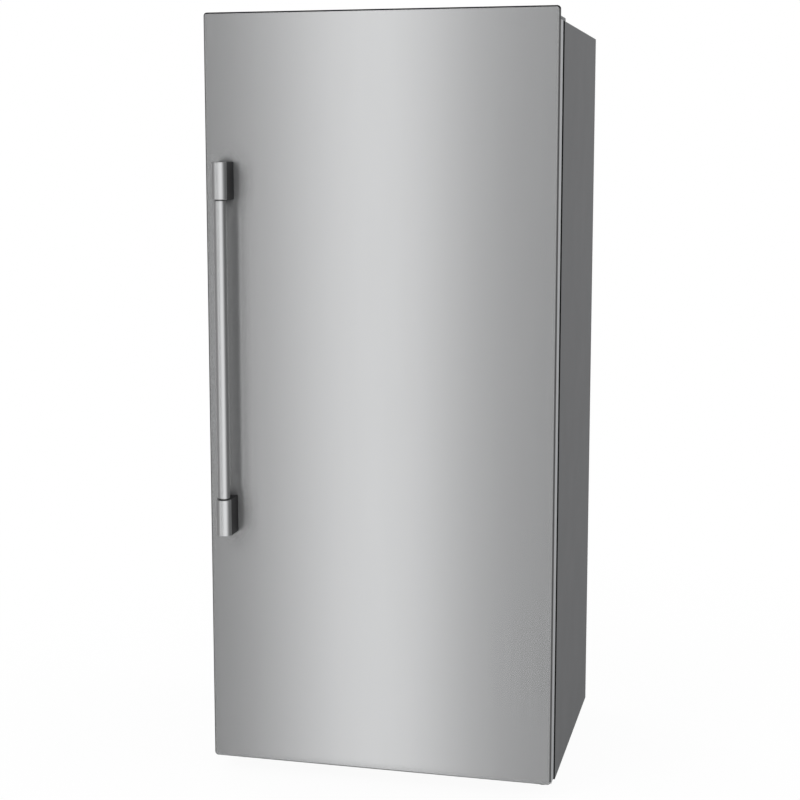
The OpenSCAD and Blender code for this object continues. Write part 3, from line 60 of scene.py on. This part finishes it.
class Graph:
    """A node tree, with short calls for the nodes that are used again and again."""

    def __init__(self, tree):
        self.tree = tree

    def node(self, kind, **values):
        made = self.tree.nodes.new(kind)
        for key, value in values.items():
            setattr(made, key, value)
        return made

    def link(self, output, slot):
        self.tree.links.new(output, slot)

    def put(self, value, slot):
        """Feeds a socket with another node's output, a number or a colour."""
        if isinstance(value, bpy.types.NodeSocket):
            self.link(value, slot)
        elif isinstance(value, tuple) and len(value) == 3 and slot.type == "RGBA":
            slot.default_value = (*value, 1)
        else:
            slot.default_value = value

    def parts(self, vector):
        """The x, y and z of a vector."""
        made = self.node("ShaderNodeSeparateXYZ")
        self.link(vector, made.inputs[0])
        return made.outputs[0], made.outputs[1], made.outputs[2]

    def math(self, operation, a, b=0.0):
        made = self.node("ShaderNodeMath", operation=operation)
        self.put(a, made.inputs[0])
        self.put(b, made.inputs[1])
        return made.outputs[0]

    def span(self, value, low, high, to_low=0.0, to_high=1.0):
        """A number that goes from to_low to to_high as the value goes from low to high."""
        made = self.node("ShaderNodeMapRange")
        self.link(value, made.inputs["Value"])
        for key, number in (("From Min", low), ("From Max", high), ("To Min", to_low), ("To Max", to_high)):
            made.inputs[key].default_value = number
        return made.outputs["Result"]

    def ramp(self, value, stops):
        """A grey level by the value: each stop is a place from 0 to 1 and the level there."""
        made = self.node("ShaderNodeValToRGB")
        elements = made.color_ramp.elements
        while len(elements) < len(stops):
            elements.new(0.5)
        for element, (place, level) in zip(elements, stops):
            element.position = place
            element.color = (level, level, level, 1)
        self.link(value, made.inputs["Fac"])
        return made.outputs["Color"]

    def mix(self, factor, a, b):
        """A colour that goes from a to b with the factor. The node's colours are its sockets 6 and 7."""
        made = self.node("ShaderNodeMix", data_type="RGBA")
        for slot, value in ((0, factor), (6, a), (7, b)):
            self.put(value, made.inputs[slot])
        return made.outputs[2]

    def blend(self, factor, a, b):
        """A number that goes from a to b with the factor. The node's numbers are its sockets 2 and 3."""
        made = self.node("ShaderNodeMix", data_type="FLOAT")
        for slot, value in ((0, factor), (2, a), (3, b)):
            self.put(value, made.inputs[slot])
        return made.outputs[0]

    def choose(self, factor, a, b):
        """A shader that goes from a to b with the factor."""
        made = self.node("ShaderNodeMixShader")
        for slot, value in enumerate((factor, a, b)):
            self.link(value, made.inputs[slot])
        return made.outputs[0]


# Noise keeps mostly to this range
NOISE_LOW = 0.3
NOISE_HIGH = 0.7


class Shader(Graph):
    """A material with one Principled shader, and short calls for the patterns that feed it.

    Patterns take their scale in features per metre: one number, or one for each axis.
    """

    def __init__(self, name, color, rough, metal=0.0, **more):
        self.material = bpy.data.materials.new(name)
        self.material.use_nodes = True
        super().__init__(self.material.node_tree)
        self.shader = self.tree.nodes["Principled BSDF"]
        place = self.node("ShaderNodeTexCoord")
        self.place = place.outputs["Object"]
        self.normal = place.outputs["Normal"]
        self.color(color)
        self.rough(rough)
        self.feed("Metallic", metal)
        for key, value in more.items():
            self.feed(key.replace("_", " "), value)

    def feed(self, socket, value):
        self.put(value, self.shader.inputs[socket])

    def color(self, value):
        self.feed("Base Color", value)

    def rough(self, value):
        self.feed("Roughness", value)

    def pattern(self, kind, scale, **values):
        """A texture that is fixed to the piece."""
        made = self.node(kind, **values)
        made.inputs["Scale"].default_value = 1.0
        mapping = self.node("ShaderNodeMapping")
        mapping.inputs["Scale"].default_value = scale if isinstance(scale, tuple) else (scale,) * 3
        self.link(self.place, mapping.inputs["Vector"])
        self.link(mapping.outputs["Vector"], made.inputs["Vector"])
        return made

    def noise(self, scale, detail=2.0, rough=0.5):
        made = self.pattern("ShaderNodeTexNoise", scale)
        made.inputs["Detail"].default_value = detail
        made.inputs["Roughness"].default_value = rough
        return made.outputs["Fac"]

    def cells(self, scale, feature="F1", output="Distance"):
        return self.pattern("ShaderNodeTexVoronoi", scale, feature=feature).outputs[output]

    def swing(self, noise, low=0.0, high=1.0):
        """A number that goes from low to high with noise."""
        return self.span(noise, NOISE_LOW, NOISE_HIGH, low, high)

    def tint(self, factor, color, swing):
        """A colour that goes from darker to lighter with the factor, by the share swing each way."""
        return self.mix(factor, scaled(color, 1 - swing), scaled(color, 1 + swing))

    def bump(self, height, distance, strength):
        made = self.node("ShaderNodeBump")
        made.inputs["Strength"].default_value = strength
        made.inputs["Distance"].default_value = distance
        self.link(height, made.inputs["Height"])
        self.feed("Normal", made.outputs["Normal"])


# Brightness of the studio as shiny surfaces see it, by direction: degrees from the front, plus to the right.
# A narrow strip light between dark screens gives the brushed door its one soft bright band.
STUDIO = [
    # From behind round the left side
    (-180, 0.36), (-170, 0.36), (-135, 0.60), (-102, 0.20), (-67, 0.33), (-50, 0.50),
    # A bright panel, a dark screen, the strip light and a grey screen
    (-40, 1.05), (-31, 1.05), (-26, 0.03), (-20, 0.03), (-13.6, 2.12), (-11.4, 0.32), (-3, 0.32),
    # The bright front, which fades out to the right side
    (1, 1.00), (50, 1.05), (60, 0.85), (70, 0.45), (90, 0.22), (107, 0.20),
    # On round to behind
    (135, 0.60), (165, 0.60), (172, 0.36), (180, 0.36)]
STUDIO_TOP = max(level for _, level in STUDIO)
# Shiny surfaces see a dark ceiling: sine of the height at which it starts and at which it is darkest, and the
# share of the light that is left there
CEILING_FROM = 0.50
CEILING_TO = 0.72
CEILING = 0.10
# The even light that reaches dull surfaces from all sides
AMBIENT = 0.62


def background(g, color, strength):
    made = g.node("ShaderNodeBackground")
    g.put(color, made.inputs["Color"])
    made.inputs["Strength"].default_value = strength
    return made.outputs[0]


def studio_light(g):
    """The share of STUDIO_TOP that a shiny surface sees in each direction."""
    x, y, z = g.parts(g.node("ShaderNodeTexCoord").outputs["Generated"])
    angle = g.math("ARCTAN2", x, g.math("MULTIPLY", y, -1))
    turn = g.span(angle, -math.pi, math.pi)
    around = g.ramp(turn, [((degrees + 180) / 360, level / STUDIO_TOP) for degrees, level in STUDIO])
    below_ceiling = g.span(z, CEILING_FROM, CEILING_TO, 1.0, CEILING)
    return g.mix(below_ceiling, BLACK, around)


def build_world():
    """White for the camera and through glass, the studio for reflections, and even light for the rest."""
    world = bpy.data.worlds.new("studio")
    scene.world = world
    world.use_nodes = True
    world.node_tree.nodes.clear()
    g = Graph(world.node_tree)
    ray = g.node("ShaderNodeLightPath").outputs
    seen = background(g, WHITE, 1.0)
    even = background(g, WHITE, AMBIENT)
    reflected = background(g, studio_light(g), STUDIO_TOP)
    result = g.choose(ray["Is Glossy Ray"], even, reflected)
    result = g.choose(ray["Is Transmission Ray"], result, seen)
    result = g.choose(ray["Is Camera Ray"], result, seen)
    g.link(result, g.node("ShaderNodeOutputWorld").inputs["Surface"])


# Lamps: name, place, the point that it looks at, width and height in metres, and power in watts
LAMPS = [
    ("key", (-1.9, -3.6, 3.3), (0, 0, 0.9), (2.4, 2.0), 75),
    ("fill_right", (4.1, 0.7, 2.5), (0.3, 0.1, 1.2), (2.2, 2.4), 60),
    ("back_left", (-3.4, 2.8, 2.8), (0, 0.2, 0.9), (2.0, 2.0), 45)]


def add_lamp(name, place, look_at, size, power):
    data = bpy.data.lights.new(name, "AREA")
    data.shape = "RECTANGLE"
    data.size, data.size_y = size
    data.energy = power
    lamp = bpy.data.objects.new(name, data)
    lamp.location = place
    lamp.rotation_euler = (Vector(look_at) - Vector(place)).to_track_quat("-Z", "Y").to_euler()
    lamp.visible_camera = False
    lamp.visible_glossy = False
    scene.collection.objects.link(lamp)


FLOOR_RADIUS = 14
FLOOR_CORNERS = 96
FLOOR_ROUGH = 0.9
# Share of the light that the floor throws back at the object
FLOOR_BOUNCE = 0.35
# The camera sees plain white in this share of the floor near the object, and the shadow in the rest. Between
# two distances from the middle, in metres, the share rises to all of it.
GLOW_NEAR = 0.95
GLOW_FROM = 0.9
GLOW_TO = 2.2


def make_floor_white():
    s = Shader("floor_white", WHITE, FLOOR_ROUGH)
    camera_ray = s.node("ShaderNodeLightPath").outputs["Is Camera Ray"]
    s.color(s.mix(camera_ray, scaled(WHITE, FLOOR_BOUNCE), WHITE))
    glow = s.node("ShaderNodeEmission")
    glow.inputs["Strength"].default_value = 1.0
    distance = s.node("ShaderNodeVectorMath", operation="LENGTH")
    s.link(s.place, distance.inputs[0])
    share = s.span(distance.outputs["Value"], GLOW_FROM, GLOW_TO, GLOW_NEAR, 1.0)
    seen = s.math("MULTIPLY", share, camera_ray)
    result = s.choose(seen, s.shader.outputs[0], glow.outputs[0])
    s.link(result, s.tree.nodes["Material Output"].inputs["Surface"])
    return s.material


def add_floor():
    """A round white floor that keeps the object's shadow."""
    mesh = bpy.data.meshes.new("floor")
    made = bmesh.new()
    bmesh.ops.create_circle(made, cap_ends=True, radius=FLOOR_RADIUS, segments=FLOOR_CORNERS)
    made.to_mesh(mesh)
    made.free()
    mesh.materials.append(make_floor_white())
    floor = bpy.data.objects.new("floor", mesh)
    floor.visible_glossy = False
    scene.collection.objects.link(floor)


build_world()
add_floor()
for lamp in LAMPS:
    add_lamp(*lamp)

# Brushing of metal, in features per metre: first across it, then along it. The tone takes a share from the
# bands and the rest from the lines.
BRUSH_LINES = (2400.0, 4.0)
BRUSH_BANDS = (60.0, 0.7)
BAND_SHARE = 0.25
# The tone keeps mostly to this range
BRUSH_LOW = 0.35
BRUSH_HIGH = 0.65
# Painted shade on the sides of steel, in place of their dark reflections: share of the colour that is left by
# height of the normal, 0 down and 1 up, and how far they face the front where this starts and where it is
# done.
# On the sheet these are its bent edges: the upper one is painted darkest, and the lower one is painted
# lighter as if it took the floor's light. On the handle they are its flanks, but not its ends.
SHEET_PAINTED_SHADE = (((0.48, 0.80), (0.50, 0.24), (0.52, 0.04)), 0.9998, 0.990)
HANDLE_PAINTED_SHADE = (((0.1, 1.0), (0.3, 0.38), (0.7, 0.38), (0.9, 1.0)), 0.70, 0.38)
SIDE_ROUGH = 0.45
# How far away, in metres, a piece still casts painted shade on brushed steel
SHADE_REACH = 0.06
SHADE_SAMPLES = 8


def brushed_scale(rates, along):
    """A pattern's scale with its first rate across the brushing and its second along it."""
    across, lengthwise = rates
    scale = [across] * 3
    scale[along] = lengthwise
    return tuple(scale)


def paint_side_shade(s, painted_sides, color, look, gloss):
    """Darkens and dulls what doesn't face the front or the back: painted shade in place of dark reflections.
    """
    shares, start, done = painted_sides
    _, back, up = s.parts(s.normal)
    front = s.span(s.math("ABSOLUTE", back), done, start)
    painted_side_color = s.mix(s.ramp(s.span(up, -1, 1), shares), BLACK, color)
    return s.mix(front, painted_side_color, look), s.blend(front, SIDE_ROUGH, gloss)


def paint_contact_shade(s, shade, blur, look, gloss):
    """Beside other pieces, paints shade into the steel by the power shade and widens its reflections by blur.
    """
    around = s.node("ShaderNodeAmbientOcclusion", samples=SHADE_SAMPLES)
    around.inputs["Distance"].default_value = SHADE_REACH
    openness = around.outputs["AO"]
    near = s.math("POWER", s.math("SUBTRACT", 1.0, openness), 2.0)
    look = s.mix(s.math("POWER", openness, shade), BLACK, look)
    return look, s.math("ADD", gloss, s.math("MULTIPLY", near, blur))


def make_brushed(name, color, rough, along=2, metal=1.0, painted_sides=None, shade=0.0, blur=0.0):
    """Metal brushed along one axis: 0, 1 or 2 for x, y or z. A little less than all metal gives haze."""
    s = Shader(name, color, rough, metal)
    lines = s.noise(brushed_scale(BRUSH_LINES, along), detail=2.0, rough=0.6)
    bands = s.noise(brushed_scale(BRUSH_BANDS, along), detail=2.0, rough=0.5)
    tone = s.math("ADD", s.math("MULTIPLY", lines, 1 - BAND_SHARE), s.math("MULTIPLY", bands, BAND_SHARE))
    look = s.tint(s.span(tone, BRUSH_LOW, BRUSH_HIGH), color, swing=0.015)
    gloss = s.swing(lines, rough - 0.015, rough + 0.015)
    # Painted shade on the bent edges or flanks
    if painted_sides:
        look, gloss = paint_side_shade(s, painted_sides, color, look, gloss)
    # Painted shade beside other pieces, such as under and around the handle
    if shade:
        look, gloss = paint_contact_shade(s, shade, blur, look, gloss)
    s.color(look)
    s.rough(gloss)
    s.bump(lines, distance=0.000004, strength=0.3)
    return s.material


# Texture of painted sheet, per metre: the cloudy tone, the faint orange peel and the cabinet's pebbles
PAINT_CLOUDS = 9.0
PAINT_PEEL = 240.0
PEBBLES = 420.0
PEBBLE_SPECKS = 546.0
# Specks fade in from the first level of their noise to the second, and are this much lighter than the paint
SPECKS_FROM = 0.35
SPECKS_TO = 0.7
SPECK_LIGHT = 1.4
# The normal along y, which is -1 on a face that looks to the front: where the painted shade of front faces
# starts, and where it is full
FRONT_FROM = -0.8
FRONT_TO = -0.95


def make_paint(name, color, rough, specular=0.5, pebble=0.0, front=1.0):
    """Painted sheet with orange peel or, when pebble is above 0, with pebbles and that share of light specks.

    Faces that look to the front, such as the rim behind the gasket, keep only the share front of the colour,
    as painted shade for the gap behind the door.
    """
    s = Shader(name, color, rough, Specular_IOR_Level=specular)
    cloud = s.noise(PAINT_CLOUDS, detail=3.0)
    tone = s.tint(s.swing(cloud), color, swing=0.03)
    if pebble:
        specks = s.span(s.noise(PEBBLE_SPECKS), SPECKS_FROM, SPECKS_TO, 0, pebble)
        tone = s.mix(specks, tone, scaled(color, SPECK_LIGHT))
        s.bump(s.cells(PEBBLES, feature="SMOOTH_F1"), distance=0.0003, strength=0.4)
    else:
        s.bump(s.noise(PAINT_PEEL), distance=0.0001, strength=0.25)
    # Painted shade: front faces are darkened as if in the shadow of the gap behind the door
    if front < 1:
        away = s.span(s.parts(s.normal)[1], FRONT_TO, FRONT_FROM)
        tone = s.mix(away, scaled(color, front), tone)
    s.color(tone)
    s.rough(s.swing(cloud, rough - 0.04, rough + 0.05))
    return s.material


# Moulded plastic, per metre: its grain and its cloudy tone
PLASTIC_GRAIN = 900.0
PLASTIC_CLOUDS = 6.0


def make_plastic(name, color, rough, texture=0.15, specular=0.5):
    """Moulded plastic with a fine grain of the strength texture."""
    s = Shader(name, color, rough, Specular_IOR_Level=specular)
    grain = s.noise(PLASTIC_GRAIN)
    s.color(s.tint(s.swing(s.noise(PLASTIC_CLOUDS)), color, swing=0.025))
    s.rough(s.swing(grain, rough - 0.05, rough + 0.05))
    s.bump(grain, distance=0.0001, strength=texture)
    return s.material


def make_clear(name, color, rough, ior):
    """Glass or clear plastic with a slow flow in its surface."""
    s = Shader(name, color, rough, Transmission_Weight=1.0, IOR=ior)
    flow = s.noise(14.0, detail=1.0)
    s.rough(s.swing(flow, rough, rough + 0.03))
    s.bump(flow, distance=0.0002, strength=0.05)
    return s.material


def make_zinc():
    """Galvanised sheet with its spangle, about 8 mm wide."""
    s = Shader("zinc", (0.55, 0.56, 0.57), rough=0.38, metal=0.7)
    spangle = s.node("ShaderNodeSeparateColor")
    s.link(s.cells(130.0, output="Color"), spangle.inputs[0])
    s.color(s.mix(spangle.outputs[0], (0.53, 0.54, 0.55), (0.60, 0.61, 0.62)))
    s.rough(s.span(spangle.outputs[1], 0, 1, 0.36, 0.44))
    return s.material


def make_lens():
    """The interior lamp's frosted cover, which glows."""
    s = Shader("lens", (0.93, 0.93, 0.9), rough=0.35, Emission_Color=(1.0, 0.97, 0.9), Emission_Strength=6.0)
    s.bump(s.noise(300.0, detail=1.0), distance=0.0003, strength=0.4)
    return s.material


def make_foam():
    """Insulation foam with cells about 2 mm wide."""
    s = Shader("foam", (0.72, 0.6, 0.33), rough=0.9)
    s.bump(s.cells(500.0), distance=0.0008, strength=0.6)
    return s.material


def make_copper():
    """Copper pipe with darker, duller clouds."""
    s = Shader("copper", (0.8, 0.42, 0.27), rough=0.3, metal=1.0)
    cloud = s.noise(30.0, detail=3.0)
    s.color(s.mix(s.span(cloud, 0.35, 0.7), (0.83, 0.46, 0.3), (0.5, 0.27, 0.17)))
    s.rough(s.swing(cloud, 0.25, 0.45))
    return s.material


# The material of each slot in the record: name, colour, roughness and what else it has
LOOKS = {
    # Both steels have painted shade on their bent edges or flanks, and beside other pieces
    "stainless": make_brushed(
        "stainless", (0.595, 0.60, 0.605), 0.17, metal=0.8, painted_sides=SHEET_PAINTED_SHADE, shade=0.9, blur=2.5),
    "handle_steel": make_brushed("handle_steel", (0.715, 0.72, 0.725), 0.36, painted_sides=HANDLE_PAINTED_SHADE, shade=0.8),
    "aluminium": make_brushed("aluminium", (0.78, 0.79, 0.80), 0.32, along=0),
    # The front rim keeps only 3% of the colour, as painted shade for the gap behind the door
    "cabinet_paint": make_paint(
        "cabinet_paint", (0.146, 0.148, 0.152), 0.65, specular=0.25, pebble=0.3, front=0.03),
    "frame_paint": make_paint("frame_paint", (0.44, 0.45, 0.46), 0.5, specular=0.3),
    "black_paint": make_paint("black_paint", (0.018, 0.018, 0.02), 0.35),
    "white_metal": make_paint("white_metal", (0.78, 0.79, 0.80), 0.3),
    "hinge_grey": make_plastic("hinge_grey", (0.155, 0.158, 0.162), 0.5, specular=0.3),
    "liner_white": make_plastic("liner_white", (0.80, 0.81, 0.82), 0.3, texture=0.12),
    "trim_white": make_plastic("trim_white", (0.76, 0.77, 0.78), 0.35),
    "console_grey": make_plastic("console_grey", (0.42, 0.43, 0.44), 0.42),
    "black_plastic": make_plastic("black_plastic", (0.026, 0.026, 0.027), 0.5, texture=0.3, specular=0.25),
    "gasket_rubber": make_plastic("gasket_rubber", (0.010, 0.010, 0.011), 0.62, texture=0.2, specular=0.2),
    "clear_plastic": make_clear("clear_plastic", (0.97, 0.98, 0.985), 0.03, ior=1.46),
    "shelf_glass": make_clear("shelf_glass", (0.88, 0.97, 0.94), 0.01, ior=1.5),
    "lens": make_lens(),
    "zinc": make_zinc(),
    "foam": make_foam(),
    "copper": make_copper(),
}


def dress_nodes():
    """Every CAD node keeps its shape and takes the material of its slot."""
    for part in frame["record"]["subparts"]:
        mesh = nodes[part["node"]].data
        mesh.materials.clear()
        mesh.materials.append(LOOKS[part["material_slot"]])


dress_nodes()
